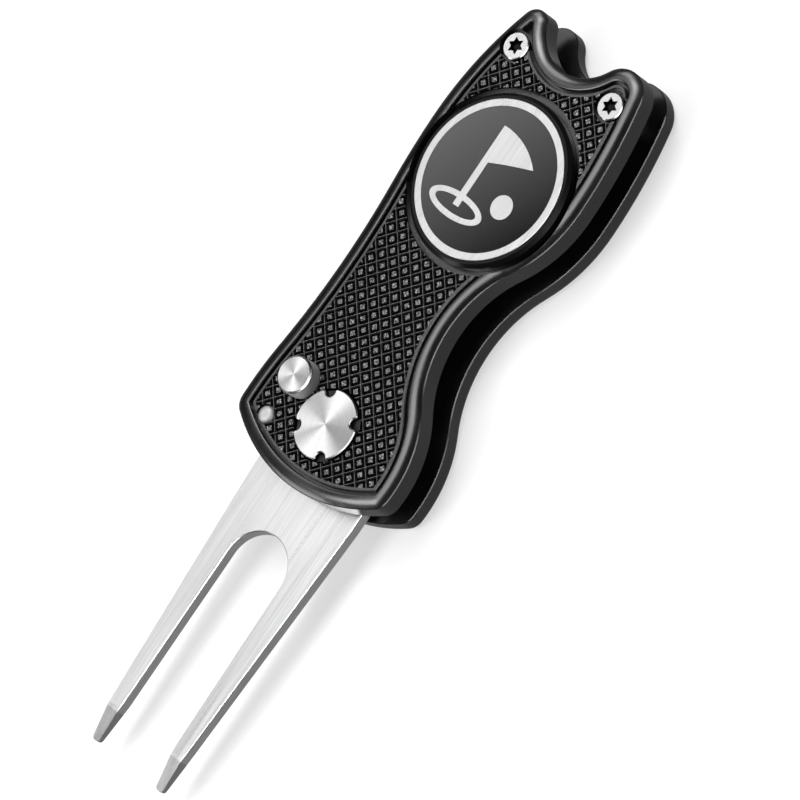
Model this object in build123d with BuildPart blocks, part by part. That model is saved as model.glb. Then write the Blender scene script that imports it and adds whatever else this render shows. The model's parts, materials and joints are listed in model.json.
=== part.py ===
"""Folding divot repair tool: a two-cover handle, a fork that folds into it, a release button and a ball marker.

Lengths are in millimetres. The tool lies on its back: +Z points out of the front cover, +Y towards the ears of
the handle and -Y towards the tips of the fork. Sketches are drawn round the ball marker's centre, and level()
places them in the part's frame, whose origin is under the middle of the tool's overall box.
"""

import math
import os

from build123d import *

os.makedirs("parts", exist_ok=True)

# ---- handle outline --------------------------------------------------------------------------------------
HALF_WIDTH = 15.1  # at the bottom corners, where the handle is widest
CORNER_Y = -41.5  # height of those widest points
LEFT_BULGE = (-14.65, 3.0)  # leftmost point beside the marker
RIGHT_BULGE = (14.8, 2.9)  # rightmost point beside the marker
BOTTOM_Y = -49.1
BOTTOM_RADIUS = 25.5
NOTCH_CENTRE = (-0.45, 24.9)
FLANK_RADII = (52, 78)  # of the left and right sides between the marker and the ears
LEFT_SIDE_RADII = (110, 120, 53)  # from the marker down: bulge, hollow waist, hip
BOTTOM_CORNER_RADIUS = 2.4
# Radii that differ between the covers: notch, left ear, right ear, right bulge, right hollow waist, right hip
FRONT_RADII = (7.4, 2.25, 4.05, 20, 18.2, 17.7)
BACK_RADII = (6.3, 3.1, 4.9, 24, 21, 20)

# ---- covers ----------------------------------------------------------------------------------------------
BACK_THICKNESS = 3.2
GAP = 3.85  # between the covers, where the fork folds in
FRONT_THICKNESS = 3.6
FRONT_INNER_Z = BACK_THICKNESS + GAP
CREST_Z = FRONT_INNER_Z + FRONT_THICKNESS
CROWN_RISE = 0.55  # the front frame curves down from its crest to its outer edge
CROWN_BULGE = (0.7, 0.354)  # a point of that curve, in from the edge and up from its foot
CROWN_CREST = 1.65  # in from the edge
CROWN_LIP = 0.25  # how far the crown has rolled down again at the recess
EDGE_BREAK = 0.12
CLEAR = 1.0  # how far a cutting shape stands clear of what it cuts
RECESS_INSET = 2.0  # from the outline to the frame's inner wall
RECESS_Z = CREST_Z - 1.3
BACK_EDGE_RADIUS = 1.2
BACK_RECESS_INSET = 3.2
BACK_RECESS_DEPTH = 0.95

# ---- grip panels -----------------------------------------------------------------------------------------
PANEL_INSET = 2.43  # leaves the dark groove between frame and panel
PANEL_LIP = 0.45
LIP_CHAMFER = 0.12
PANEL_FIELD_Z = CREST_Z - 0.6
PANEL_LIP_Z = CREST_Z - 0.15
CAP_GAP = 0.25
BUTTON_GAP = 0.1
PIN_GAP = 0.1
BACK_PANEL_GAP = 0.28
BACK_PANEL_INSET = BACK_RECESS_INSET + BACK_PANEL_GAP
BACK_PANEL_LIP_Z = 0.15  # the back panel's lip lies this far above the back face
BACK_PANEL_FIELD_Z = 0.5

# ---- ball marker and its magnet --------------------------------------------------------------------------
MARKER_RADIUS = 12.5
MARKER_THICKNESS = 1.9
MARKER_TOP_Z = CREST_Z + 0.55
MARKER_SEAT_Z = MARKER_TOP_Z - MARKER_THICKNESS
MARKER_RIM_DROP = 0.1
MARKER_RIM_BEVEL = (0.45, 0.5)  # down and in
POCKET_RADIUS = 13.4
PLATE_RADIUS = 11.55
PLATE_THICKNESS = 0.6
RING_INNER_RADIUS = 10.5
ENAMEL_THICKNESS = 0.15
ENAMEL_DROP = 0.05
EMBLEM_RISE = 0.06
POLE_X = -2.2
POLE_WIDTH = 1.1
FLAG_TOP_Y = 7.2
FLAG_HEIGHT = 5.6
FLAG_POINT = (5.4, 4.2)
FLAG_WAVE_X = 3.2  # from the pole to the flag's waves
FLAG_WAVES = (-0.5, -4.4)  # of its upper and lower edge, from the flag's top
HOLE_Y = -5.4
HOLE_OUTER = (5.0, 1.9)
HOLE_INNER = (3.9, 1.1)
BALL_AT = (4.4, -2.2)
BALL_RADIUS = 1.75
MAGNET_RADIUS = 5.0
MAGNET_THICKNESS = 1.5

# ---- pivot -----------------------------------------------------------------------------------------------
PIVOT_AT = (0, -39.54)
BARREL_RADIUS = 2.5
BARREL_HEAD_RADIUS = 4.0
BARREL_HEAD_THICKNESS = 1.1
BARREL_THREAD_DEPTH = 5.0
REAR_HEAD_Z = 0.2  # rear screw heads lie this far above the back face
CAP_RADIUS = 5.03
CAP_TOP_Z = CREST_Z + 0.35
CAP_NOTCH_RADIUS = 0.8
CAP_NOTCH_CIRCLE = 4.7
CAP_NOTCH_FLARE = 0.3  # radius at the notches' mouths
CAP_NOTCH_DEPTH = 0.9
CAP_NOTCH_ANGLE = 30
CAP_STUD_RADIUS = 1.5
WASHER_RADIUS = 4.3
WASHER_THICKNESS = 0.925
RUNNING = 0.05  # radial clearance of a part that turns or slides
FIXED = 0.02  # radial clearance of a part that stays put

# ---- fork ------------------------------------------------------------------------------------------------
FORK_THICKNESS = 1.9
FORK_Z = BACK_THICKNESS + (GAP - FORK_THICKNESS) / 2
HUB_RADIUS = 6.05
SHOULDER_X = 9.93
LEFT_SHOULDER_Y = -44.65  # rests under the stop pin when the fork is open
TAPER_START_Y = -49.5
PRONG_FOOT = (7.9, -86.5)  # outer edge where the tip begins
TIP = (6.78, -93.2)
TIP_HALF_WIDTH = 0.65
PRONG_BLEND = 9.0  # radius where the prongs' edges turn towards the tips
SLOT_TOP = (5.35, -61.35)  # where the slot's round end begins
SLOT_END = (5.6, -86.8)
TIP_BEVEL_Y = -87.6
TIP_EDGE_THICKNESS = 0.9
TIP_ROUNDING = 0.55
HUB_REAR_LEFT = (-5.8, -1.0)  # where the tang's rear edge meets the hub, from the pivot
HUB_REAR_RIGHT = (5.7, -1.8)
RIGHT_SHOULDER_DROP = 3.6  # below the pivot

# ---- release button, lock plunger and stop pin -----------------------------------------------------------
BUTTON_AT = (-7.83, -36.45)
BUTTON_RADIUS = 2.72
BUTTON_TOP_Z = CREST_Z + 1.98
BUTTON_FOOT_Z = CREST_Z - 0.55
BUTTON_TRAVEL = 2.05
BUTTON_CHAMFER = 0.25
NECK_RADIUS = 1.25
NECK_INSERT = 1.3  # how far the neck is pressed into the button
COLLAR_RADIUS = 2.2
COLLAR_TOP_Z = FORK_Z + FORK_THICKNESS + 0.075
COLLAR_THICKNESS = 1.5
COLLAR_BORE_Z = 1.5
NOTCH_CLEARANCE = 0.3  # between the collar and the fork's lock notch
CLOSED_COLLAR_AT = (-BUTTON_AT[0], 2 * PIVOT_AT[1] - BUTTON_AT[1])  # where the closed fork meets it
STOP_PIN_AT = (-9.78, -43.2)
STOP_PIN_RADIUS = 1.35
STOP_PIN_Z = (1.5, CREST_Z - 0.1)
STOP_PIN_DOME = 0.8

# ---- ears: screws, standoffs -----------------------------------------------------------------------------
EARS_AT = [(-9.32, 17.02), (9.32, 17.02)]
STANDOFF_RADIUS = 2.1
SCREW_RADIUS = 1.0
SCREW_REACH = 1.7  # thread inside the standoff
FRONT_HEAD_RADIUS = 2.0
FRONT_HEAD_Z = (CREST_Z - 1.4, CREST_Z - 0.2)
FRONT_BORE_RADIUS = 2.4
REAR_HEAD_RADIUS = 1.8
REAR_HEAD_THICKNESS = 1.0
STAR_OUTER = 1.32
STAR_INNER = 0.77
STAR_DEPTH = 0.85
HEAD_CHAMFER = 0.15

# ---- spine -----------------------------------------------------------------------------------------------
SPINE_INSET = 0.6
SPINE_WIDTH = 2.4
SPINE_Y = (-36.0, 12.0)
DOWEL_RADIUS = 0.6
DOWELS_AT = [(-12.85, 4.0), (-11.95, -24.0)]
DOWEL_DEPTH = 1.2

# ---- springs ---------------------------------------------------------------------------------------------
TORSION_RADIUS = 5.1
TORSION_WIRE = 0.7
TORSION_PITCH = 0.8
TORSION_TURNS = 2.25
TORSION_POCKET_Z = 1.5
TORSION_POCKET_WIDTH = 1.2
BUTTON_COIL_RADIUS = 1.7
BUTTON_WIRE = 0.35
BUTTON_TURNS = 3


# ---- helpers ---------------------------------------------------------------------------------------------
def touching(first, second, radius, side):
    """The signed circle (x, y, r) that touches two others, left (+1) or right (-1) of their line."""
    start, end = Vector(*first[:2]), Vector(*second[:2])
    along = end - start
    reach_1, reach_2 = abs(radius - first[2]), abs(radius - second[2])
    share = (reach_1**2 - reach_2**2 + along.length**2) / (2 * along.length)
    rise = math.sqrt(reach_1**2 - share**2)
    unit = along.normalized()
    centre = start + unit * share + Vector(-unit.Y, unit.X) * (rise * side)
    return (centre.X, centre.Y, radius)


def bulging(widest, radius):
    """The circle of that radius whose outermost point is the widest point of a flank."""
    x, y = widest
    return (x - math.copysign(radius, x), y, radius)


def handle_circles(notch_radius, left_ear, right_ear, right_bulge, right_waist, hip):
    """Circles whose arcs make the outline, anticlockwise; a hollow stretch has a negative radius."""
    notch = (*NOTCH_CENTRE, -notch_radius)
    left_upper, right_upper = bulging(LEFT_BULGE, FLANK_RADII[0]), bulging(RIGHT_BULGE, FLANK_RADII[1])
    left_lower, right_lower = bulging(LEFT_BULGE, LEFT_SIDE_RADII[0]), bulging(RIGHT_BULGE, right_bulge)
    left_hip = bulging((-HALF_WIDTH, CORNER_Y), LEFT_SIDE_RADII[2])
    right_hip = bulging((HALF_WIDTH, CORNER_Y), hip)
    bottom = (0, BOTTOM_Y + BOTTOM_RADIUS, BOTTOM_RADIUS)
    return [
        notch,
        touching(notch, left_upper, left_ear, -1),
        left_upper,
        left_lower,
        touching(left_lower, left_hip, -LEFT_SIDE_RADII[1], -1),
        left_hip,
        touching(left_hip, bottom, BOTTOM_CORNER_RADIUS, 1),
        bottom,
        touching(bottom, right_hip, BOTTOM_CORNER_RADIUS, 1),
        right_hip,
        touching(right_hip, right_lower, -right_waist, -1),
        right_lower,
        right_upper,
        touching(right_upper, notch, right_ear, -1),
    ]


FRONT_CIRCLES = handle_circles(*FRONT_RADII)
BACK_CIRCLES = handle_circles(*BACK_RADII)
EAR_TOP_Y = max(y + radius for _, y, radius in (*FRONT_CIRCLES[1::12], *BACK_CIRCLES[1::12]))
FRAME_Y = (EAR_TOP_Y + TIP[1]) / 2


def level(z, at=(0, 0)):
    """The sketching plane at height z, with its origin at a point given from the marker's centre."""
    return Plane((at[0], at[1] - FRAME_Y, z))


def joint_point(circle, following):
    """Where two signed circles touch."""
    normal = (Vector(*circle[:2]) - Vector(*following[:2])) / (circle[2] - following[2])
    return Vector(*circle[:2]) - normal * circle[2]


def outline(circles):
    """Draws a cover's outline in the line being built."""
    for i, circle in enumerate(circles):
        start = joint_point(circles[i - 1], circle)
        end = joint_point(circle, circles[(i + 1) % len(circles)])
        centre = Vector(*circle[:2])
        middle = ((start - centre).normalized() + (end - centre).normalized()).normalized()
        ThreePointArc(start, centre + middle * abs(circle[2]), end)


def handle_face(circles, inset=0.0):
    """Adds a cover's outline as a face of the sketch being built, moved inwards by inset."""
    with BuildLine() as edge:
        outline(circles)
    make_face(edge.edges())
    if inset:
        offset(amount=-inset, kind=Kind.INTERSECTION)


def bore(z_from, z_to, radius, places):
    """Bores round holes between two heights out of the part being built."""
    with BuildSketch(level(z_from)) as profile:
        with Locations(places):
            Circle(radius)
    extrude(profile.sketch, amount=z_to - z_from, mode=Mode.SUBTRACT)


def shaft(z_from, z_to, radius, places=((0, 0),), hole=0.0):
    """Adds round discs, shafts or, with a hole, rings between two heights."""
    with BuildSketch(level(z_from)) as profile:
        with Locations(places):
            Circle(radius)
            if hole:
                Circle(hole, mode=Mode.SUBTRACT)
    extrude(profile.sketch, amount=z_to - z_from)


def star_points():
    """Corners of the six-pointed screw socket."""
    for k in range(12):
        reach = STAR_INNER if k % 2 else STAR_OUTER
        yield reach * math.cos(math.radians(30 * k)), reach * math.sin(math.radians(30 * k))


def star_sockets(z_from, depth):
    """Cuts the star sockets of the ear screws, from their face inwards."""
    for place in EARS_AT:
        with BuildSketch(level(z_from, place)) as star:
            Polygon(*star_points(), align=None)
        extrude(star.sketch, amount=depth, mode=Mode.SUBTRACT)


def coil(z_from, height, radius, wire, turns, at):
    """Sweeps a round wire along a helix."""
    with BuildLine(level(z_from, at)) as helix:
        Helix(pitch=height / turns, height=height, radius=radius)
    with BuildSketch(Plane(helix.line @ 0, z_dir=helix.line % 0)) as section:
        Circle(wire / 2)
    sweep(section.sketch, path=helix.line, is_frenet=True)


def finish(part, name):
    """Labels a finished piece and writes its STEP file."""
    part.label = name
    export_step(part, f"parts/{name}.step")


# ---- front cover: crowned frame, recessed for the grip panels and the marker -----------------------------
with BuildPart() as front_cover:
    with BuildSketch(level(FRONT_INNER_Z)):
        handle_face(FRONT_CIRCLES)
    extrude(amount=FRONT_THICKNESS)
    with BuildLine() as edge:
        outline(FRONT_CIRCLES)
    crown_path = edge.wires()[0].moved(level(CREST_Z - CROWN_RISE).location)
    forward = crown_path % 0
    with BuildSketch(Plane(crown_path @ 0, x_dir=forward.cross(Vector(0, 0, 1)), z_dir=-forward)):
        with BuildLine():
            Line((0, -EDGE_BREAK), (-EDGE_BREAK, 0))
            ThreePointArc((-EDGE_BREAK, 0), (-CROWN_BULGE[0], CROWN_BULGE[1]), (-CROWN_CREST, CROWN_RISE))
            Spline(
                (-CROWN_CREST, CROWN_RISE),
                (-RECESS_INSET, CROWN_RISE - CROWN_LIP),
                tangents=((-1, 0), (0, -1)),
            )
            Polyline(
                (-RECESS_INSET, CROWN_RISE - CROWN_LIP),
                (-RECESS_INSET, CLEAR),
                (CLEAR, CLEAR),
                (CLEAR, -EDGE_BREAK),
                (0, -EDGE_BREAK),
            )
        make_face()
    sweep(path=crown_path, mode=Mode.SUBTRACT)
    with BuildSketch(level(RECESS_Z)):
        handle_face(FRONT_CIRCLES, RECESS_INSET)
    extrude(amount=CREST_Z - RECESS_Z, mode=Mode.SUBTRACT)
    bore(MARKER_SEAT_Z, CREST_Z, POCKET_RADIUS, [(0, 0)])
    bore(MARKER_SEAT_Z - MAGNET_THICKNESS, MARKER_SEAT_Z, MAGNET_RADIUS + FIXED, [(0, 0)])
    bore(FRONT_HEAD_Z[0], CREST_Z, FRONT_BORE_RADIUS, EARS_AT)
    bore(FRONT_INNER_Z, FRONT_HEAD_Z[0], SCREW_RADIUS + FIXED, EARS_AT)
    bore(FRONT_INNER_Z, FRONT_INNER_Z + DOWEL_DEPTH, DOWEL_RADIUS + FIXED, DOWELS_AT)
    bore(FRONT_INNER_Z, RECESS_Z, BARREL_RADIUS + FIXED, [PIVOT_AT])
    bore(FRONT_INNER_Z, RECESS_Z, STOP_PIN_RADIUS + FIXED, [STOP_PIN_AT])
    shaft(COLLAR_TOP_Z + RUNNING, FRONT_INNER_Z, COLLAR_RADIUS, [BUTTON_AT])
    bore(COLLAR_TOP_Z, RECESS_Z, NECK_RADIUS + RUNNING, [BUTTON_AT])
    bore(BUTTON_FOOT_Z - BUTTON_TRAVEL - RUNNING, RECESS_Z, BUTTON_RADIUS + RUNNING, [BUTTON_AT])
finish(front_cover.part, "front_cover")

# ---- back cover: rounded back edge, recessed for the back panel ------------------------------------------
with BuildPart() as back_cover:
    with BuildSketch(level(0)):
        handle_face(BACK_CIRCLES)
    extrude(amount=BACK_THICKNESS)
    fillet(back_cover.edges().group_by(Axis.Z)[0], radius=BACK_EDGE_RADIUS)
    chamfer(back_cover.edges().group_by(Axis.Z)[-1], length=EDGE_BREAK)
    with BuildSketch(level(0)):
        handle_face(BACK_CIRCLES, BACK_RECESS_INSET)
    extrude(amount=BACK_RECESS_DEPTH, mode=Mode.SUBTRACT)
    bore(0, REAR_HEAD_Z + REAR_HEAD_THICKNESS, REAR_HEAD_RADIUS + FIXED, EARS_AT)
    bore(0, BACK_THICKNESS, SCREW_RADIUS + FIXED, EARS_AT)
    bore(0, REAR_HEAD_Z + BARREL_HEAD_THICKNESS, BARREL_HEAD_RADIUS + FIXED, [PIVOT_AT])
    bore(0, BACK_THICKNESS, BARREL_RADIUS + FIXED, [PIVOT_AT])
    bore(STOP_PIN_Z[0], BACK_THICKNESS, STOP_PIN_RADIUS + FIXED, [STOP_PIN_AT])
    bore(COLLAR_BORE_Z, BACK_THICKNESS, COLLAR_RADIUS + RUNNING, [BUTTON_AT])
    bore(BACK_THICKNESS - DOWEL_DEPTH, BACK_THICKNESS, DOWEL_RADIUS + FIXED, DOWELS_AT)
    with BuildSketch(level(TORSION_POCKET_Z)):
        with Locations(PIVOT_AT):
            Circle(TORSION_RADIUS + TORSION_POCKET_WIDTH / 2)
            Circle(TORSION_RADIUS - TORSION_POCKET_WIDTH / 2, mode=Mode.SUBTRACT)
    extrude(amount=BACK_THICKNESS - TORSION_POCKET_Z, mode=Mode.SUBTRACT)
finish(back_cover.part, "back_cover")

# ---- front grip panels: the marker's pocket divides them into a lower and an ear panel --------------------
with BuildPart() as front_panels:
    with BuildSketch(level(RECESS_Z)):
        handle_face(FRONT_CIRCLES, PANEL_INSET)
    extrude(amount=PANEL_LIP_Z - RECESS_Z)
    with BuildSketch(level(PANEL_FIELD_Z)):
        handle_face(FRONT_CIRCLES, PANEL_INSET + PANEL_LIP)
    extrude(amount=PANEL_LIP_Z - PANEL_FIELD_Z, mode=Mode.SUBTRACT)
    chamfer(front_panels.faces().sort_by(Axis.Z)[-1].outer_wire().edges(), length=LIP_CHAMFER)
    bore(RECESS_Z, PANEL_LIP_Z, POCKET_RADIUS, [(0, 0)])
    bore(RECESS_Z, PANEL_LIP_Z, FRONT_BORE_RADIUS, EARS_AT)
    bore(RECESS_Z, PANEL_LIP_Z, CAP_RADIUS + CAP_GAP, [PIVOT_AT])
    bore(RECESS_Z, PANEL_LIP_Z, BUTTON_RADIUS + BUTTON_GAP, [BUTTON_AT])
    bore(RECESS_Z, PANEL_LIP_Z, STOP_PIN_RADIUS + PIN_GAP, [STOP_PIN_AT])
lower_panel, ear_panel = front_panels.solids().sort_by(SortBy.VOLUME)[-1:-3:-1]
finish(lower_panel, "front_grip_panel")
finish(ear_panel, "front_ear_panel")

# ---- back grip panel -------------------------------------------------------------------------------------
with BuildPart() as back_grip_panel:
    with BuildSketch(level(BACK_PANEL_LIP_Z)):
        handle_face(BACK_CIRCLES, BACK_PANEL_INSET)
    extrude(amount=BACK_RECESS_DEPTH - BACK_PANEL_LIP_Z)
    with BuildSketch(level(BACK_PANEL_LIP_Z)):
        handle_face(BACK_CIRCLES, BACK_PANEL_INSET + PANEL_LIP)
    extrude(amount=BACK_PANEL_FIELD_Z - BACK_PANEL_LIP_Z, mode=Mode.SUBTRACT)
    chamfer(back_grip_panel.faces().sort_by(Axis.Z)[0].outer_wire().edges(), length=LIP_CHAMFER)
    bore(0, BACK_RECESS_DEPTH, REAR_HEAD_RADIUS + BACK_PANEL_GAP, EARS_AT)
    bore(0, BACK_RECESS_DEPTH, BARREL_HEAD_RADIUS + BACK_PANEL_GAP, [PIVOT_AT])
finish(back_grip_panel.solids().sort_by(SortBy.VOLUME)[-1], "back_grip_panel")

# ---- spine along the closed left side, with its dowels ----------------------------------------------------
with BuildPart() as spine_spacer:
    with BuildSketch(level(BACK_THICKNESS)):
        handle_face(FRONT_CIRCLES, SPINE_INSET)
        with BuildSketch(mode=Mode.PRIVATE) as core:
            handle_face(FRONT_CIRCLES, SPINE_INSET + SPINE_WIDTH)
        add(core.sketch, mode=Mode.SUBTRACT)
        with Locations((-HALF_WIDTH, sum(SPINE_Y) / 2)):
            Rectangle(HALF_WIDTH, SPINE_Y[1] - SPINE_Y[0], mode=Mode.INTERSECT)
        with Locations(DOWELS_AT):
            Circle(DOWEL_RADIUS + FIXED, mode=Mode.SUBTRACT)
    extrude(amount=GAP)
finish(spine_spacer.part, "spine_spacer")

with BuildPart() as spine_dowels:
    shaft(BACK_THICKNESS - DOWEL_DEPTH, FRONT_INNER_Z + DOWEL_DEPTH, DOWEL_RADIUS, DOWELS_AT)
finish(spine_dowels.part, "spine_dowels")

# ---- ear standoffs and the screws at both ends of them ----------------------------------------------------
with BuildPart() as ear_standoffs:
    shaft(BACK_THICKNESS, FRONT_INNER_Z, STANDOFF_RADIUS, EARS_AT, hole=SCREW_RADIUS + FIXED)
finish(ear_standoffs.part, "ear_standoffs")

with BuildPart() as front_ear_screws:
    shaft(*FRONT_HEAD_Z, FRONT_HEAD_RADIUS, EARS_AT)
    chamfer(front_ear_screws.edges().group_by(Axis.Z)[-1], length=HEAD_CHAMFER)
    star_sockets(FRONT_HEAD_Z[1], -STAR_DEPTH)
    shaft(FRONT_INNER_Z - SCREW_REACH, FRONT_HEAD_Z[0], SCREW_RADIUS, EARS_AT)
finish(front_ear_screws.part, "front_ear_screws")

with BuildPart() as rear_ear_screws:
    shaft(REAR_HEAD_Z, REAR_HEAD_Z + REAR_HEAD_THICKNESS, REAR_HEAD_RADIUS, EARS_AT)
    chamfer(rear_ear_screws.edges().group_by(Axis.Z)[0], length=HEAD_CHAMFER)
    shaft(REAR_HEAD_Z + REAR_HEAD_THICKNESS, BACK_THICKNESS + SCREW_REACH, SCREW_RADIUS, EARS_AT)
    star_sockets(REAR_HEAD_Z, STAR_DEPTH)
finish(rear_ear_screws.part, "rear_ear_screws")

# ---- pivot: barrel from the back, notched cap screwed into it from the front, two washers ------------------
with BuildPart() as pivot_barrel:
    shaft(REAR_HEAD_Z, REAR_HEAD_Z + BARREL_HEAD_THICKNESS, BARREL_HEAD_RADIUS, [PIVOT_AT])
    chamfer(pivot_barrel.edges().group_by(Axis.Z)[0], length=HEAD_CHAMFER)
    shaft(REAR_HEAD_Z + BARREL_HEAD_THICKNESS, RECESS_Z - RUNNING, BARREL_RADIUS, [PIVOT_AT])
    bore(RECESS_Z - BARREL_THREAD_DEPTH, RECESS_Z, CAP_STUD_RADIUS + FIXED, [PIVOT_AT])
finish(pivot_barrel.part, "pivot_barrel")

with BuildPart() as pivot_cap:
    shaft(RECESS_Z, CAP_TOP_Z - CAP_NOTCH_DEPTH, CAP_RADIUS, [PIVOT_AT])
    with BuildSketch(level(CAP_TOP_Z - CAP_NOTCH_DEPTH, PIVOT_AT)) as notched:
        Circle(CAP_RADIUS)
        with PolarLocations(CAP_NOTCH_CIRCLE, 4, start_angle=CAP_NOTCH_ANGLE):
            Circle(CAP_NOTCH_RADIUS, mode=Mode.SUBTRACT)
        fillet(notched.vertices().filter_by(lambda v: abs(v.Y) > FIXED), radius=CAP_NOTCH_FLARE)
    extrude(amount=CAP_NOTCH_DEPTH)
    chamfer(pivot_cap.edges().group_by(Axis.Z)[-1], length=HEAD_CHAMFER)
    shaft(RECESS_Z - BARREL_THREAD_DEPTH + RUNNING, RECESS_Z, CAP_STUD_RADIUS, [PIVOT_AT])
finish(pivot_cap.part, "pivot_cap")

with BuildPart() as rear_washer:
    shaft(BACK_THICKNESS, BACK_THICKNESS + WASHER_THICKNESS, WASHER_RADIUS, [PIVOT_AT], BARREL_RADIUS + FIXED)
finish(rear_washer.part, "rear_washer")

with BuildPart() as front_washer:
    shaft(FRONT_INNER_Z - WASHER_THICKNESS, FRONT_INNER_Z, WASHER_RADIUS, [PIVOT_AT], BARREL_RADIUS + FIXED)
finish(front_washer.part, "front_washer")

with BuildPart() as torsion_spring:
    torsion_height = TORSION_PITCH * TORSION_TURNS
    torsion_z = TORSION_POCKET_Z + TORSION_WIRE / 2 + FIXED
    coil(torsion_z, torsion_height, TORSION_RADIUS, TORSION_WIRE, TORSION_TURNS, PIVOT_AT)
finish(torsion_spring.part, "torsion_spring")

# ---- stop pin ----------------------------------------------------------------------------------------------
with BuildPart() as stop_pin:
    shaft(*STOP_PIN_Z, STOP_PIN_RADIUS, [STOP_PIN_AT])
    fillet(stop_pin.edges().group_by(Axis.Z)[-1], radius=STOP_PIN_DOME)
finish(stop_pin.part, "stop_pin")

# ---- fork: hub, shoulders, lock notch, slot and two chisel-ground prongs -----------------------------------
with BuildPart() as fork:
    with BuildSketch(level(FORK_Z)) as fork_face:
        with BuildLine():
            for side in (-1, 1):
                Polyline(
                    (side * SHOULDER_X, TAPER_START_Y),
                    (side * PRONG_FOOT[0], PRONG_FOOT[1]),
                    (side * (TIP[0] + TIP_HALF_WIDTH), TIP[1]),
                    (side * (TIP[0] - TIP_HALF_WIDTH), TIP[1]),
                    (side * SLOT_END[0], SLOT_END[1]),
                    (side * SLOT_TOP[0], SLOT_TOP[1]),
                )
            slot_tangent = Vector(*SLOT_TOP) - Vector(*SLOT_END)
            TangentArc(SLOT_TOP, (-SLOT_TOP[0], SLOT_TOP[1]), tangent=slot_tangent)
            Polyline(
                (-SHOULDER_X, TAPER_START_Y),
                (-SHOULDER_X, LEFT_SHOULDER_Y),
                (STOP_PIN_AT[0] + STOP_PIN_RADIUS + NOTCH_CLEARANCE, LEFT_SHOULDER_Y),
                (PIVOT_AT[0] + HUB_REAR_LEFT[0], PIVOT_AT[1] + HUB_REAR_LEFT[1]),
                (PIVOT_AT[0] + HUB_REAR_RIGHT[0], PIVOT_AT[1] + HUB_REAR_RIGHT[1]),
                (SHOULDER_X, PIVOT_AT[1] - RIGHT_SHOULDER_DROP),
                (SHOULDER_X, TAPER_START_Y),
            )
        make_face()
        prong_corners = fork_face.vertices().filter_by(lambda v: TIP[1] + CLEAR < v.Y < SLOT_TOP[1] - CLEAR)
        fillet(prong_corners, radius=PRONG_BLEND)
        fillet(fork_face.vertices().filter_by(lambda v: v.Y < TIP[1] + CLEAR), radius=TIP_ROUNDING)
    extrude(amount=FORK_THICKNESS)
    chamfer(fork.edges().group_by(Axis.Z)[-1] + fork.edges().group_by(Axis.Z)[0], length=EDGE_BREAK)
    shaft(FORK_Z, FORK_Z + FORK_THICKNESS, HUB_RADIUS, [PIVOT_AT])
    bore(FORK_Z, FORK_Z + FORK_THICKNESS, BARREL_RADIUS + RUNNING, [PIVOT_AT])
    bore(FORK_Z, FORK_Z + FORK_THICKNESS, COLLAR_RADIUS + NOTCH_CLEARANCE, [CLOSED_COLLAR_AT])
    with BuildSketch(Plane.YZ):
        with BuildLine():
            Polyline(
                (TIP_BEVEL_Y - FRAME_Y, FORK_Z + FORK_THICKNESS),
                (TIP[1] - FRAME_Y, FORK_Z + TIP_EDGE_THICKNESS),
                (TIP[1] - FRAME_Y - CLEAR, FORK_Z + TIP_EDGE_THICKNESS),
                (TIP[1] - FRAME_Y - CLEAR, FORK_Z + FORK_THICKNESS),
                close=True,
            )
        make_face()
    extrude(amount=HALF_WIDTH, both=True, mode=Mode.SUBTRACT)
finish(fork.part, "fork")

# ---- release button, with the lock plunger and its spring --------------------------------------------------
with BuildPart() as release_button:
    shaft(BUTTON_FOOT_Z, BUTTON_TOP_Z, BUTTON_RADIUS, [BUTTON_AT])
    chamfer(release_button.edges().group_by(Axis.Z)[-1], length=BUTTON_CHAMFER)
    bore(BUTTON_FOOT_Z, BUTTON_FOOT_Z + NECK_INSERT, NECK_RADIUS, [BUTTON_AT])
finish(release_button.part, "release_button")

with BuildPart() as lock_plunger:
    shaft(COLLAR_TOP_Z - COLLAR_THICKNESS, COLLAR_TOP_Z, COLLAR_RADIUS, [BUTTON_AT])
    chamfer(lock_plunger.edges(), length=EDGE_BREAK)
    shaft(COLLAR_TOP_Z, BUTTON_FOOT_Z + NECK_INSERT, NECK_RADIUS, [BUTTON_AT])
finish(lock_plunger.part, "lock_plunger")

with BuildPart() as button_spring:
    button_spring_z = COLLAR_BORE_Z + BUTTON_WIRE / 2 + FIXED
    button_spring_height = COLLAR_TOP_Z - COLLAR_THICKNESS - FIXED - BUTTON_WIRE / 2 - button_spring_z
    coil(button_spring_z, button_spring_height, BUTTON_COIL_RADIUS, BUTTON_WIRE, BUTTON_TURNS, BUTTON_AT)
finish(button_spring.part, "button_spring")

# ---- ball marker: steel base, brushed plate, enamel, raised flag emblem; magnet under it --------------------
PLATE_Z = MARKER_TOP_Z - PLATE_THICKNESS
ENAMEL_Z = MARKER_TOP_Z - ENAMEL_DROP

with BuildPart() as marker_base:
    shaft(MARKER_SEAT_Z, MARKER_TOP_Z - MARKER_RIM_DROP, MARKER_RADIUS)
    chamfer(marker_base.edges().group_by(Axis.Z)[-1], length=MARKER_RIM_BEVEL[0], length2=MARKER_RIM_BEVEL[1])
    chamfer(marker_base.edges().group_by(Axis.Z)[0], length=EDGE_BREAK)
    bore(PLATE_Z, MARKER_TOP_Z, PLATE_RADIUS + FIXED, [(0, 0)])
finish(marker_base.part, "marker_base")

with BuildPart() as marker_plate:
    shaft(PLATE_Z, MARKER_TOP_Z, PLATE_RADIUS)
    chamfer(marker_plate.edges().group_by(Axis.Z)[-1], length=EDGE_BREAK / 2)
    bore(ENAMEL_Z - ENAMEL_THICKNESS, MARKER_TOP_Z, RING_INNER_RADIUS, [(0, 0)])
finish(marker_plate.part, "marker_plate")

with BuildPart() as marker_enamel:
    shaft(ENAMEL_Z - ENAMEL_THICKNESS, ENAMEL_Z, RING_INNER_RADIUS)
finish(marker_enamel.part, "marker_enamel")

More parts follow.
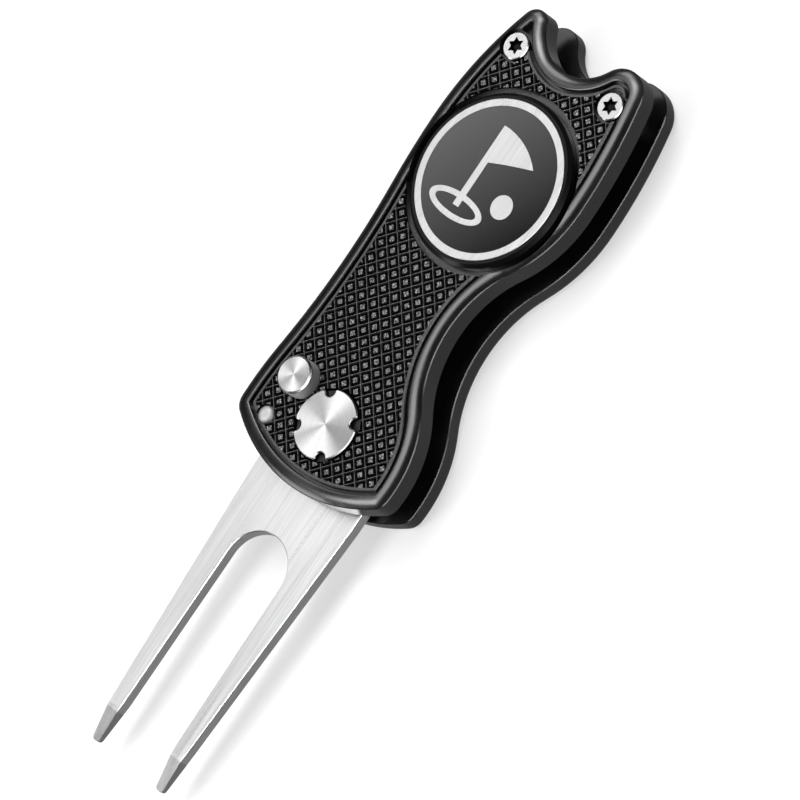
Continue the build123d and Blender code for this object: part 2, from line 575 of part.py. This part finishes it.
with BuildPart() as marker_emblem:
    with BuildSketch(level(ENAMEL_Z)):
        with BuildLine():
            Line((POLE_X, FLAG_TOP_Y), (POLE_X, FLAG_TOP_Y - FLAG_HEIGHT))
            for foot_y, wave in zip((FLAG_TOP_Y, FLAG_TOP_Y - FLAG_HEIGHT), FLAG_WAVES):
                ThreePointArc((POLE_X, foot_y), (POLE_X + FLAG_WAVE_X, FLAG_TOP_Y + wave), FLAG_POINT)
        make_face()
        with Locations((POLE_X, HOLE_Y)):
            Ellipse(*HOLE_OUTER)
            Ellipse(*HOLE_INNER, mode=Mode.SUBTRACT)
        with Locations((POLE_X, (FLAG_TOP_Y + HOLE_Y) / 2)):
            Rectangle(POLE_WIDTH, FLAG_TOP_Y - HOLE_Y)
        with Locations(BALL_AT):
            Circle(BALL_RADIUS)
    extrude(amount=EMBLEM_RISE)
finish(marker_emblem.part, "marker_emblem")

with BuildPart() as marker_magnet:
    shaft(MARKER_SEAT_Z - MAGNET_THICKNESS, MARKER_SEAT_Z, MAGNET_RADIUS)
finish(marker_magnet.part, "marker_magnet")
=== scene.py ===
"""The divot repair tool's looks, round the CAD frame.

Knurled grip panels, a coil spring, and brushed, spun, enamelled and coated metal.
"""

import json
import math
import random

import bmesh
import bpy
from mathutils import Matrix, Vector


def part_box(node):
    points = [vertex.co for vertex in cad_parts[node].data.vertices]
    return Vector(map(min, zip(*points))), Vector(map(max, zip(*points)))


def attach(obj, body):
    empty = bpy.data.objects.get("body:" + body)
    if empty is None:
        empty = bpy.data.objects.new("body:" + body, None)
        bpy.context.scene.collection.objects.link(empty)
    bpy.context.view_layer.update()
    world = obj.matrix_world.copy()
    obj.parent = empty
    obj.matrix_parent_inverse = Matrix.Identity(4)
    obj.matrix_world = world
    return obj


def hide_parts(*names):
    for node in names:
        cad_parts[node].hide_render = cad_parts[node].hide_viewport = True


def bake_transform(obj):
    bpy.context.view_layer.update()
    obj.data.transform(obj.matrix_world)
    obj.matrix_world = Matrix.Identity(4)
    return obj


MM = 0.001

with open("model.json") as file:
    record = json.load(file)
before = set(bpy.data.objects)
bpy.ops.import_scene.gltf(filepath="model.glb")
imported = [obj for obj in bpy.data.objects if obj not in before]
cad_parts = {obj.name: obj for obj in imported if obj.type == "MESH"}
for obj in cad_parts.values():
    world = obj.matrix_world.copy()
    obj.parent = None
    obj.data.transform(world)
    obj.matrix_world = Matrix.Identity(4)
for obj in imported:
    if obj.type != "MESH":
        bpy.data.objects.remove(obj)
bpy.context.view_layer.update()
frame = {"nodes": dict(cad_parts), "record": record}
nodes = frame["nodes"]


def centre_of(node):
    """The middle of a CAD node's box."""
    low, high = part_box(node)
    return (Vector(low) + Vector(high)) / 2


MARKER_CENTRE = centre_of("marker_plate")
PIVOT_CENTRE = centre_of("pivot_cap")
BUTTON_CENTRE = centre_of("release_button")
CAP_TOP_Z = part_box("pivot_cap")[1].z
BUTTON_TOP_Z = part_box("release_button")[1].z

# ---- materials ---------------------------------------------------------------------------------------------


class Shader:
    """A node material under construction, with short calls for the nodes it uses."""

    def __init__(self, name, **values):
        self.material = bpy.data.materials.new(name)
        self.material.use_nodes = True
        self.tree = self.material.node_tree
        self.tree.nodes.clear()
        self.bsdf = self.node("ShaderNodeBsdfPrincipled")
        output = self.node("ShaderNodeOutputMaterial")
        self.link(self.bsdf.outputs["BSDF"], output.inputs["Surface"])
        for socket, value in values.items():
            self.bsdf.inputs[socket.replace("_", " ")].default_value = value
        self.place = self.node("ShaderNodeTexCoord").outputs["Object"]

    def node(self, kind, **settings):
        made = self.tree.nodes.new(kind)
        for key, value in settings.items():
            setattr(made, key, value)
        return made

    def link(self, source, target):
        self.tree.links.new(source, target)

    def stretched(self, scale, turn=0.0, centre=(0, 0, 0)):
        """The object's coordinates, moved, turned about Z and scaled."""
        mapping = self.node("ShaderNodeMapping", vector_type="TEXTURE")
        mapping.inputs["Location"].default_value = centre
        mapping.inputs["Rotation"].default_value = (0, 0, turn)
        mapping.inputs["Scale"].default_value = [1 / s for s in scale]
        self.link(self.place, mapping.inputs["Vector"])
        return mapping.outputs["Vector"]

    def along_axis(self, vector, axis):
        """One coordinate of a vector."""
        split = self.node("ShaderNodeSeparateXYZ")
        self.link(vector, split.inputs[0])
        return split.outputs[axis]

    def height(self):
        """Height above the floor."""
        return self.along_axis(self.place, "Z")

    def from_axis(self, centre):
        """The level vector from a vertical axis."""
        flat = self.node("ShaderNodeVectorMath", operation="MULTIPLY_ADD")
        flat.inputs[1].default_value = (1, 1, 0)
        flat.inputs[2].default_value = (-centre.x, -centre.y, 0)
        self.link(self.place, flat.inputs[0])
        return flat.outputs["Vector"]

    def radius_about(self, centre):
        """Distance from a vertical axis."""
        length = self.node("ShaderNodeVectorMath", operation="LENGTH")
        self.link(self.from_axis(centre), length.inputs[0])
        return length.outputs["Value"]

    def highlight_fans(self, centre, bearings, sharpness):
        """The mask of the painted highlight: 1 along some bearings from a vertical axis, falling to 0 or less
        beside them.

        The sharpness is odd, so that the side opposite a bearing comes out negative.
        """
        outwards = self.node("ShaderNodeVectorMath", operation="NORMALIZE")
        self.link(self.from_axis(centre), outwards.inputs[0])
        brightest = None
        for bearing in map(math.radians, bearings):
            cosine = self.node("ShaderNodeVectorMath", operation="DOT_PRODUCT")
            cosine.inputs[1].default_value = (math.cos(bearing), math.sin(bearing), 0)
            self.link(outwards.outputs["Vector"], cosine.inputs[0])
            fan = self.node("ShaderNodeMath", operation="POWER")
            fan.inputs[1].default_value = sharpness
            self.link(cosine.outputs["Value"], fan.inputs[0])
            if brightest is not None:
                larger = self.node("ShaderNodeMath", operation="MAXIMUM")
                self.link(brightest, larger.inputs[0])
                self.link(fan.outputs[0], larger.inputs[1])
                fan = larger
            brightest = fan.outputs[0]
        return brightest

    def noise(self, vector, scale, detail=2.0, roughness=0.5, w=None):
        made = self.node("ShaderNodeTexNoise")
        made.inputs["Scale"].default_value = scale
        made.inputs["Detail"].default_value = detail
        made.inputs["Roughness"].default_value = roughness
        if w is not None:
            made.noise_dimensions = "1D"
            self.link(w, made.inputs["W"])
        else:
            self.link(vector, made.inputs["Vector"])
        return made.outputs["Fac"]

    def ramp(self, source, low, high, first, last):
        """Maps a value linearly from one range to another, clamped."""
        made = self.node("ShaderNodeMapRange")
        for key, value in zip(("From Min", "From Max", "To Min", "To Max"), (low, high, first, last)):
            made.inputs[key].default_value = value
        self.link(source, made.inputs["Value"])
        return made.outputs["Result"]

    def blend(self, source, first, last):
        """A colour between two, by a value from 0 to 1."""
        made = self.node("ShaderNodeMix", data_type="RGBA")
        made.inputs[6].default_value = (*first, 1)
        made.inputs[7].default_value = (*last, 1)
        self.link(source, made.inputs[0])
        return made.outputs[2]

    def tinted(self, colour, factor):
        """A colour times a value."""
        made = self.node("ShaderNodeVectorMath", operation="SCALE")
        self.link(colour, made.inputs[0])
        self.link(factor, made.inputs["Scale"])
        return made.outputs["Vector"]

    def shade_painted_below(self, colour, height):
        """The colour above a height, and painted shade near black below it, in sockets and notches."""
        made = self.node("ShaderNodeMix", data_type="RGBA")
        made.inputs[6].default_value = (0.012, 0.012, 0.012, 1)
        self.link(colour, made.inputs[7])
        self.link(self.ramp(self.height(), height - 0.1 * MM, height, 0, 1), made.inputs[0])
        return made.outputs[2]

    def bump(self, height, strength, distance, under=None):
        made = self.node("ShaderNodeBump")
        made.inputs["Strength"].default_value = strength
        made.inputs["Distance"].default_value = distance
        self.link(height, made.inputs["Height"])
        if under is not None:
            self.link(under, made.inputs["Normal"])
        return made.outputs["Normal"]

    def set(self, socket, source):
        self.link(source, self.bsdf.inputs[socket])


def coated(name, colour, roughness, grain=9000.0, grain_depth=0.012, ior=1.55):
    """Black coating over metal: a fine grain, and cloudy differences in sheen."""
    s = Shader(name, IOR=ior)
    fine = s.noise(s.place, grain, 2.0)
    cloud = s.noise(s.place, 140.0, 3.0)
    s.set("Base Color", s.blend(s.ramp(cloud, 0.3, 0.7, 0, 1), colour, [1.5 * c for c in colour]))
    s.set("Roughness", s.ramp(cloud, 0.3, 0.7, roughness - 0.04, roughness + 0.05))
    s.set("Normal", s.bump(fine, 0.5, grain_depth * MM))
    return s.material


def brushed(name, colour, roughness, turn=0.0, depth=0.003, shade_below_y=None):
    """Steel with a straight grain along Y, or turned from it, and painted shade darkening its colour below a
    place along Y.
    """
    s = Shader(name, Metallic=1.0, Anisotropic=0.3)
    lines = s.noise(s.stretched((7500, 90, 7500), turn), 1.0, 3.0, 0.6)
    streaks = s.noise(s.stretched((1500, 30, 1500), turn), 1.0, 2.0, 0.6)
    shade = s.blend(s.ramp(lines, 0.3, 0.7, 0, 1), [0.8 * c for c in colour], colour)
    shade = s.tinted(shade, s.ramp(streaks, 0.35, 0.65, 0.94, 1.0))
    if shade_below_y is not None:
        # painted shade: the colour is darker below the given place along Y
        at_y = s.along_axis(s.place, "Y")
        shade = s.tinted(shade, s.ramp(at_y, shade_below_y - 0.3 * MM, shade_below_y, 0.68, 1.0))
    s.set("Base Color", shade)
    s.set("Roughness", s.ramp(streaks, 0.3, 0.7, roughness - 0.03, roughness + 0.04))
    s.set("Normal", s.bump(lines, 0.5, depth * MM))
    return s.material


def spun(name, colour, roughness, centre, top_z, bearings, shade_below=None):
    """Steel faced on a lathe: fine rings about a vertical axis, fan-shaped painted highlights in its colour,
    satin down the side, and painted shade near black below a height if one is given.
    """
    s = Shader(name, Anisotropic=0.85)
    face = (top_z - 0.5 * MM, top_z - 0.3 * MM)
    s.set("Roughness", s.ramp(s.height(), *face, 0.6, roughness))
    s.set("Metallic", s.ramp(s.height(), *face, 0.3, 1))
    radius = s.radius_about(centre)
    rings = s.noise(None, 14000.0, 2.0, 0.6, w=radius)
    coarse = s.noise(None, 2500.0, 2.0, 0.6, w=radius)
    shade = s.blend(s.ramp(coarse, 0.3, 0.7, 0, 1), [0.9 * c for c in colour], colour)
    # painted highlight: the colour is brighter in fan shapes about the axis and darker between them
    shade = s.tinted(shade, s.ramp(s.highlight_fans(centre, bearings, HIGHLIGHT_FAN_SHARPNESS), 0, 1, 0.45, 1))
    # painted shade: near black below the given height, in the cap's notches
    s.set("Base Color", s.shade_painted_below(shade, shade_below) if shade_below else shade)
    s.set("Normal", s.bump(rings, 0.25, 0.004 * MM))
    tangent = s.node("ShaderNodeTangent", direction_type="RADIAL", axis="Z")
    s.set("Tangent", tangent.outputs["Tangent"])
    return s.material


def plated(name, colour, roughness, shade_below=None):
    """Bright plating with faint handling marks, and painted shade near black below a height."""
    s = Shader(name, Metallic=1.0)
    marks = s.noise(s.place, 900.0, 4.0, 0.7)
    shade = s.blend(s.ramp(marks, 0.35, 0.7, 0, 1), colour, [0.93 * c for c in colour])
    # painted shade: near black below the given height
    s.set("Base Color", s.shade_painted_below(shade, shade_below) if shade_below else shade)
    s.set("Roughness", s.ramp(marks, 0.3, 0.75, roughness, roughness + 0.12))
    s.set("Normal", s.bump(marks, 0.15, 0.004 * MM))
    return s.material


def enamel(name, light, dark, centre, reach):
    """Smooth hard enamel under a clear gloss, with painted shade: its colour darkens from one side of the
    badge to the other.
    """
    s = Shader(name, IOR=1.22)
    cloud = s.noise(s.place, 260.0, 2.0)
    across = s.along_axis(s.stretched((1, 1, 1), ENAMEL_SHADE_TURN, centre), "X")
    # painted shade: the colour goes from light to dark across the badge
    s.set("Base Color", s.blend(s.ramp(across, -reach, reach, 0, 1), light, dark))
    s.set("Roughness", s.ramp(cloud, 0.3, 0.7, 0.2, 0.28))
    s.set("Normal", s.bump(cloud, 0.1, 0.01 * MM))
    return s.material


def knurled(name, dark, light, roughness, depth=0.05):
    """Worn cast metal of the grip panels: pitted, and patchy between dark and bare."""
    s = Shader(name, Metallic=0.85)
    rough = s.noise(s.place, 4200.0, 3.0, 0.7)
    s.set("Base Color", s.blend(s.ramp(rough, 0.42, 0.62, 0, 1), dark, light))
    s.set("Roughness", s.ramp(rough, 0.3, 0.7, roughness + 0.15, roughness))
    s.set("Normal", s.bump(rough, 0.9, depth * MM))
    return s.material


BLACK = (0.004, 0.004, 0.0042)
ENAMEL_SHADE_TURN = math.radians(-30)  # of the enamel's painted shade, from across the handle
# sharpness of the fan-shaped painted highlights on the spun parts
HIGHLIGHT_FAN_SHARPNESS = 7
CHISEL_LENGTH = 5.2 * MM
SOCKET_SHADE_BELOW = 0.12 * MM  # from a screw's top to where painted shade darkens its socket
NOTCH_SHADE_BELOW = 0.2 * MM  # the same for the pivot cap's notches
STEEL = (0.68, 0.68, 0.684)
TURNED = (0.82, 0.82, 0.825)
CHISEL_END_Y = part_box("fork")[0].y + CHISEL_LENGTH
SCREW_TOP_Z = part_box("front_ear_screws")[1].z
materials = {
    "black_cover": coated("satin_black", BLACK, 0.24, grain_depth=0.006, ior=1.75),
    "grip_panel": knurled("gunmetal", (0.07, 0.07, 0.071), (0.1, 0.1, 0.102), 0.28, 0.004),
    "black_spacer": coated("matte_black", BLACK, 0.5),
    "bright_steel": plated("bright_plating", (0.42, 0.42, 0.42), 0.34),
    # the bearings listed are where the painted highlights fall on the spun cap and button
    "pivot_steel": spun(
        "spun_pivot", TURNED, 0.3, PIVOT_CENTRE, CAP_TOP_Z, (94, 192, 274, 300), CAP_TOP_Z - NOTCH_SHADE_BELOW
    ),
    "button_steel": spun("spun_button", TURNED, 0.3, BUTTON_CENTRE, BUTTON_TOP_Z, (94, 194, 306)),
    "washer_bronze": brushed("bronze", (0.55, 0.4, 0.2), 0.35),
    "spring_steel": plated("spring_wire", (0.42, 0.42, 0.44), 0.3),
    # painted shade on the chisel faces at the prongs' tips
    "fork_steel": brushed("brushed_fork", (0.82, 0.82, 0.825), 0.3, shade_below_y=CHISEL_END_Y),
    "marker_rim": coated("gloss_black", BLACK, 0.16, grain_depth=0.002, ior=1.22),
    "marker_steel": brushed("brushed_plate", STEEL, 0.3),
    # the charcoal enamel gets painted shade, from lighter to near black across the badge
    "marker_enamel": enamel(
        "charcoal_enamel_shade", (0.09, 0.09, 0.091), (0.001, 0.001, 0.001), MARKER_CENTRE, 11 * MM
    ),
    "emblem_metal": brushed("brushed_emblem", STEEL, 0.3),
    "magnet_nickel": plated("nickel", (0.66, 0.66, 0.67), 0.2),
}
# painted shade: each screw's colour goes near black inside its socket
screw_steel = plated("socket_screw", (0.62, 0.62, 0.62), 0.2, SCREW_TOP_Z - SOCKET_SHADE_BELOW)
pin_steel = plated("dull_pin", (0.48, 0.48, 0.48), 0.55)
# painted light and shade on the knurling: the pits near black as shade, the ridges and bosses lighter as lit
pit_shade_black = coated("knurl_pits_shade", (0.003, 0.003, 0.003), 0.5, ior=1.3)
ridge_lit_grey = knurled("knurl_ridges_lit", (0.08, 0.08, 0.08), (0.22, 0.22, 0.22), 0.3)
boss_lit_bright = knurled("knurl_bosses_lit", (0.01, 0.01, 0.01), (0.26, 0.26, 0.262), 0.28)

for entry in frame["record"]["subparts"]:
    node = nodes[entry["node"]]
    node.data.materials.clear()
    node.data.materials.append(materials[entry["material_slot"]])
nodes["front_ear_screws"].data.materials[0] = screw_steel
nodes["stop_pin"].data.materials[0] = pin_steel

# ---- knurling ----------------------------------------------------------------------------------------------
PITCH = Vector((2.404 * MM, 2.437 * MM))  # between neighbouring diamonds across and along the handle
SIDE = PITCH.length / 2  # of one diamond, which stands on its corner
KNURL_TURN = Matrix.Rotation(-0.0189, 2)  # the pattern is not quite square to the handle
RIDGE = (0.03 * MM, 0.1 * MM)  # half widths of a ridge's crest and foot
BOSS = (0.36 * MM, 0.5 * MM)  # from the ridge's middle to the boss's foot and to its top
KNURL_PHASE = Vector((1.464 * MM, 0.503 * MM))  # one diamond's middle, from the marker's, before that turn
TOP_STEPS = 4
KNURL_END_Y = centre_of("front_ear_screws").y + 1.0 * MM  # the panels' tips are smooth
ROUGHNESS = 0.035 * MM  # of the bosses' tops
KNURL_ROOT = 0.1 * MM  # depth of the knurling's foot, which is sunk in the panel


def cell_steps():
    """Distances across one cell at which its relief changes."""
    tops = [BOSS[1] + (SIDE - 2 * BOSS[1]) * k / TOP_STEPS for k in range(TOP_STEPS + 1)]
    return [0.0, RIDGE[0], RIDGE[1], BOSS[0], *tops, SIDE - BOSS[0], SIDE - RIDGE[1], SIDE - RIDGE[0]]


def relief(across, along):
    """Height of the knurling, from 0 in the pits to 1, and its material: 0 pit, in painted shade; 1 ridge and
    2 boss, in painted light.
    """
    near = min(across, SIDE - across, along, SIDE - along)
    ridge = 1 - (near - RIDGE[0]) / (RIDGE[1] - RIDGE[0])
    boss = (near - BOSS[0]) / (BOSS[1] - BOSS[0])
    return max(0.0, min(1.0, max(ridge, boss))), 1 if near < RIDGE[1] else 2 if near > BOSS[1] else 0


def field_prism(node, field_z, upwards, depth):
    """A block over a panel's flat field, to cut the knurling to the field's outline.

    Known fault: holes_fill closes its foot loop by loop, so the foot also covers the field's holes.
    """
    source = bmesh.new()
    source.from_mesh(nodes[node].data)
    keep = [f for f in source.faces if all(abs(v.co.z - field_z) < 0.01 * MM for v in f.verts)]
    bmesh.ops.delete(source, geom=[f for f in source.faces if f not in set(keep)], context="FACES")
    bmesh.ops.remove_doubles(source, verts=source.verts, dist=0.001 * MM)
    direction = 1 if upwards else -1
    for v in source.verts:
        v.co.z = field_z - direction * 0.02 * MM
    base = list(source.faces)
    grown = bmesh.ops.extrude_face_region(source, geom=base)
    for v in grown["geom"]:
        if isinstance(v, bmesh.types.BMVert):
            v.co.z = field_z + direction * depth
    bmesh.ops.delete(source, geom=base, context="FACES_ONLY")
    base = [e for e in source.edges if len(e.link_faces) == 1]
    bmesh.ops.holes_fill(source, edges=base, sides=0)
    bmesh.ops.recalc_face_normals(source, faces=source.faces)
    mesh = bpy.data.meshes.new(node + "_prism")
    source.to_mesh(mesh)
    source.free()
    prism = bpy.data.objects.new(node + "_prism", mesh)
    bpy.context.collection.objects.link(prism)
    return prism


def knurl(name, node, field_z, top_z, seed):
    """Bosses and ridges over a panel's field, cut to its outline."""
    rng = random.Random(seed)
    low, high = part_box(node)
    upwards = top_z > field_z
    depth = abs(top_z - field_z)
    direction = 1 if upwards else -1
    origin = MARKER_CENTRE.xy + KNURL_TURN @ KNURL_PHASE
    steps_u = KNURL_TURN @ (PITCH / 2)
    steps_v = KNURL_TURN @ Vector((-PITCH.x / 2, PITCH.y / 2))
    reach = (Vector(high[:2]) - Vector(low[:2])).length / 2
    middle = (Vector(high[:2]) + Vector(low[:2])) / 2 - origin
    first_u = math.floor((middle.dot(steps_u) / SIDE - reach) / SIDE)
    first_v = math.floor((middle.dot(steps_v) / SIDE - reach) / SIDE)
    count = math.ceil(2 * reach / SIDE) + 2
    end_y = min(high[1] + SIDE, KNURL_END_Y)
    steps = cell_steps()
    lines = [(k * SIDE + s, s) for k in range(count) for s in steps] + [(count * SIDE, 0.0)]
    bm = bmesh.new()
    grid = []
    for du, in_u in lines:
        row = []
        for dv, in_v in lines:
            x, y = origin + steps_u * (first_u + du / SIDE - 0.5) + steps_v * (first_v + dv / SIDE - 0.5)
            height = relief(in_u, in_v)[0]
            rough = rng.uniform(-ROUGHNESS, 0) if height == 1 and min(in_u, in_v) > BOSS[0] else 0.0
            inside = low[0] - SIDE < x < high[0] + SIDE and low[1] - SIDE < y < end_y
            z = field_z + direction * (depth * height + rough)
            row.append(bm.verts.new((x, y, z)) if inside else None)
        grid.append(row)
    for i in range(len(lines) - 1):
        for j in range(len(lines) - 1):
            corners = [grid[i][j], grid[i + 1][j], grid[i + 1][j + 1], grid[i][j + 1]]
            if all(corners):
                middle_u = (lines[i][1] + (lines[i + 1][1] or SIDE)) / 2
                middle_v = (lines[j][1] + (lines[j + 1][1] or SIDE)) / 2
                bm.faces.new(corners).material_index = relief(middle_u, middle_v)[1]
    surface = list(bm.faces)
    grown = bmesh.ops.extrude_face_region(bm, geom=surface)
    for v in grown["geom"]:
        if isinstance(v, bmesh.types.BMVert):
            v.co.z = field_z - direction * KNURL_ROOT
    bmesh.ops.recalc_face_normals(bm, faces=bm.faces)
    mesh = bpy.data.meshes.new(name)
    bm.to_mesh(mesh)
    bm.free()
    piece = bpy.data.objects.new(name, mesh)
    bpy.context.collection.objects.link(piece)
    for material in (pit_shade_black, ridge_lit_grey, boss_lit_bright):
        mesh.materials.append(material)
    prism = field_prism(node, field_z, upwards, 2 * depth)
    prism.data.materials.append(pit_shade_black)
    cut = piece.modifiers.new("outline", "BOOLEAN")
    cut.operation = "INTERSECT"
    cut.solver = "MANIFOLD"
    cut.object = prism
    bpy.context.view_layer.update()
    clipped = bpy.data.meshes.new_from_object(piece.evaluated_get(bpy.context.evaluated_depsgraph_get()))
    piece.modifiers.clear()
    piece.data = clipped
    bpy.data.objects.remove(prism)
    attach(piece, "handle")


FRONT_LIP_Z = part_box("front_grip_panel")[1][2]
BACK_LIP_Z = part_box("back_grip_panel")[0][2]
FRONT_FIELD_Z = FRONT_LIP_Z - 0.45 * MM
BACK_FIELD_Z = BACK_LIP_Z + 0.35 * MM
BELOW_LIP = 0.03 * MM  # from a panel's lip to the bosses' tops
knurl("front_knurling", "front_grip_panel", FRONT_FIELD_Z, FRONT_LIP_Z - BELOW_LIP, 1)
knurl("ear_knurling", "front_ear_panel", FRONT_FIELD_Z, FRONT_LIP_Z - BELOW_LIP, 2)
knurl("back_knurling", "back_grip_panel", BACK_FIELD_Z, BACK_LIP_Z + BELOW_LIP, 3)

# ---- button spring -----------------------------------------------------------------------------------------
SPRING_WIRE = 0.35 * MM  # across
SPRING_TURNS = 3
SPRING_STEPS = 96
SPRING_SIDES = 10


def spring():
    """The coil spring under the button, built in the box of the CAD spring, which it replaces.

    Known fault: at full press there is less room than its wire needs, and its turns cross.
    """
    low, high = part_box("button_spring")
    middle = (low + high) / 2
    reach = (high.x - low.x - SPRING_WIRE) / 2
    foot = Vector((middle.x, middle.y, low.z + SPRING_WIRE / 2))
    top = Vector((middle.x, middle.y, high.z - SPRING_WIRE / 2))
    bm = bmesh.new()
    rings = []
    for k in range(SPRING_STEPS + 1):
        outwards = Matrix.Rotation(2 * math.pi * SPRING_TURNS * k / SPRING_STEPS, 3, "Z") @ Vector((1, 0, 0))
        on_line = foot.lerp(top, k / SPRING_STEPS) + outwards * reach
        ring = []
        for j in range(SPRING_SIDES):
            angle = 2 * math.pi * j / SPRING_SIDES
            side = outwards * math.cos(angle) + Vector((0, 0, math.sin(angle)))
            ring.append(bm.verts.new(on_line + side * SPRING_WIRE / 2))
        rings.append(ring)
    for lower, upper in zip(rings, rings[1:]):
        for j in range(SPRING_SIDES):
            beside = (j + 1) % SPRING_SIDES
            bm.faces.new((lower[j], lower[beside], upper[beside], upper[j])).smooth = True
    bm.faces.new(rings[0])
    bm.faces.new(rings[-1])
    bmesh.ops.recalc_face_normals(bm, faces=bm.faces)
    mesh = bpy.data.meshes.new("coil_spring")
    bm.to_mesh(mesh)
    bm.free()
    mesh.materials.append(materials["spring_steel"])
    piece = bpy.data.objects.new("coil_spring", mesh)
    bpy.context.collection.objects.link(piece)
    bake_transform(piece)
    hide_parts("button_spring")


spring()

# ---- camera ------------------------------------------------------------------------------------------------
TILT = math.radians(35.88)  # of the view away from the front cover's normal, towards +X
RISE = math.radians(2.02)  # of the view towards +Y
ROLL = math.radians(33.95)  # of the handle away from upright in the picture
CAMERA_DISTANCE = 740 * MM
CAMERA_TARGET = MARKER_CENTRE + Vector((8.23, -31.04, 0.3)) * MM
LENS = 249.7

back = Vector((math.sin(TILT) * math.cos(RISE), math.sin(RISE), math.cos(TILT) * math.cos(RISE)))
along = (Vector((0, 1, 0)) - back * back.y).normalized()
across = along.cross(back)
right = across * math.cos(ROLL) + along * math.sin(ROLL)
up = along * math.cos(ROLL) - across * math.sin(ROLL)
camera_data = bpy.data.cameras.new("camera")
camera_data.lens = LENS
camera_data.clip_start = 0.05
camera = bpy.data.objects.new("camera", camera_data)
bpy.context.collection.objects.link(camera)
turn = Matrix((right, up, back)).transposed().to_4x4()
camera.matrix_world = Matrix.Translation(CAMERA_TARGET + back * CAMERA_DISTANCE) @ turn
bpy.context.scene.camera = camera

# ---- floor, lights and world -------------------------------------------------------------------------------
FLOOR_HALF = 3.0


def floor():
    """A pale matte floor that the tool lies on."""
    mesh = bpy.data.meshes.new("floor")
    corners = [(FLOOR_HALF * x, FLOOR_HALF * y, 0) for x, y in ((-1, -1), (1, -1), (1, 1), (-1, 1))]
    mesh.from_pydata(corners, [], [(0, 1, 2, 3)])
    plane = bpy.data.objects.new("floor", mesh)
    bpy.context.collection.objects.link(plane)
    s = Shader("pale_floor", Roughness=0.9, Specular_IOR_Level=0.1)
    s.bsdf.inputs["Base Color"].default_value = (0.45, 0.45, 0.45, 1)
    s.bsdf.inputs["Emission Color"].default_value = (1, 1, 1, 1)
    s.bsdf.inputs["Emission Strength"].default_value = 0.55
    mesh.materials.append(s.material)
    plane.visible_glossy = False


def softbox(name, direction, distance, size, radiance):
    """An area light that faces the tool, its size given across and along the handle."""
    data = bpy.data.lights.new(name, "AREA")
    data.shape = "RECTANGLE"
    data.size, data.size_y = size
    data.energy = radiance * math.pi * size[0] * size[1]
    light = bpy.data.objects.new(name, data)
    bpy.context.collection.objects.link(light)
    way = Vector(direction).normalized()
    side = Vector((0, 1, 0)).cross(way).normalized()
    facing = Matrix((side, way.cross(side), way)).transposed().to_4x4()
    light.matrix_world = Matrix.Translation(way * distance) @ facing
    light.visible_camera = False


floor()
softbox("key", (-0.2, 0.0, 0.97), 1.0, (0.46, 2.0), 4.0)
softbox("key_up", (-0.3, 0.5, 0.85), 0.9, (0.3, 0.3), 5.0)
softbox("key_down", (-0.3, -0.55, 0.85), 0.9, (0.3, 0.3), 5.0)
softbox("fill", (-0.63, 0.1, 0.78), 1.0, (0.2, 0.5), 1.7)
softbox("notch", (-0.6, 0.65, 0.6), 1.0, (0.4, 0.4), 3.6)
softbox("foot", (-0.5, -0.85, 0.35), 1.0, (0.4, 0.4), 4.0)
softbox("edge", (0.788, 0.0, 0.616), 1.0, (0.1, 1.6), 8.0)
world = bpy.data.worlds.new("studio")
world.use_nodes = True
sky = world.node_tree
height = sky.nodes.new("ShaderNodeSeparateXYZ")
level = sky.nodes.new("ShaderNodeMapRange")
# the world is bright below the horizon, where the upright sides reflect it, and dark above
for key, value in zip(("From Min", "From Max", "To Min", "To Max"), (-0.2, 0.2, 0.28, 0.008)):
    level.inputs[key].default_value = value
sky.links.new(sky.nodes.new("ShaderNodeTexCoord").outputs["Generated"], height.inputs[0])
sky.links.new(height.outputs["Z"], level.inputs["Value"])
sky.links.new(level.outputs["Result"], sky.nodes["Background"].inputs["Strength"])
sky.nodes["Background"].inputs["Color"].default_value = (1, 1, 1, 1)
bpy.context.scene.world = world
bpy.context.scene.view_settings.view_transform = "Standard"
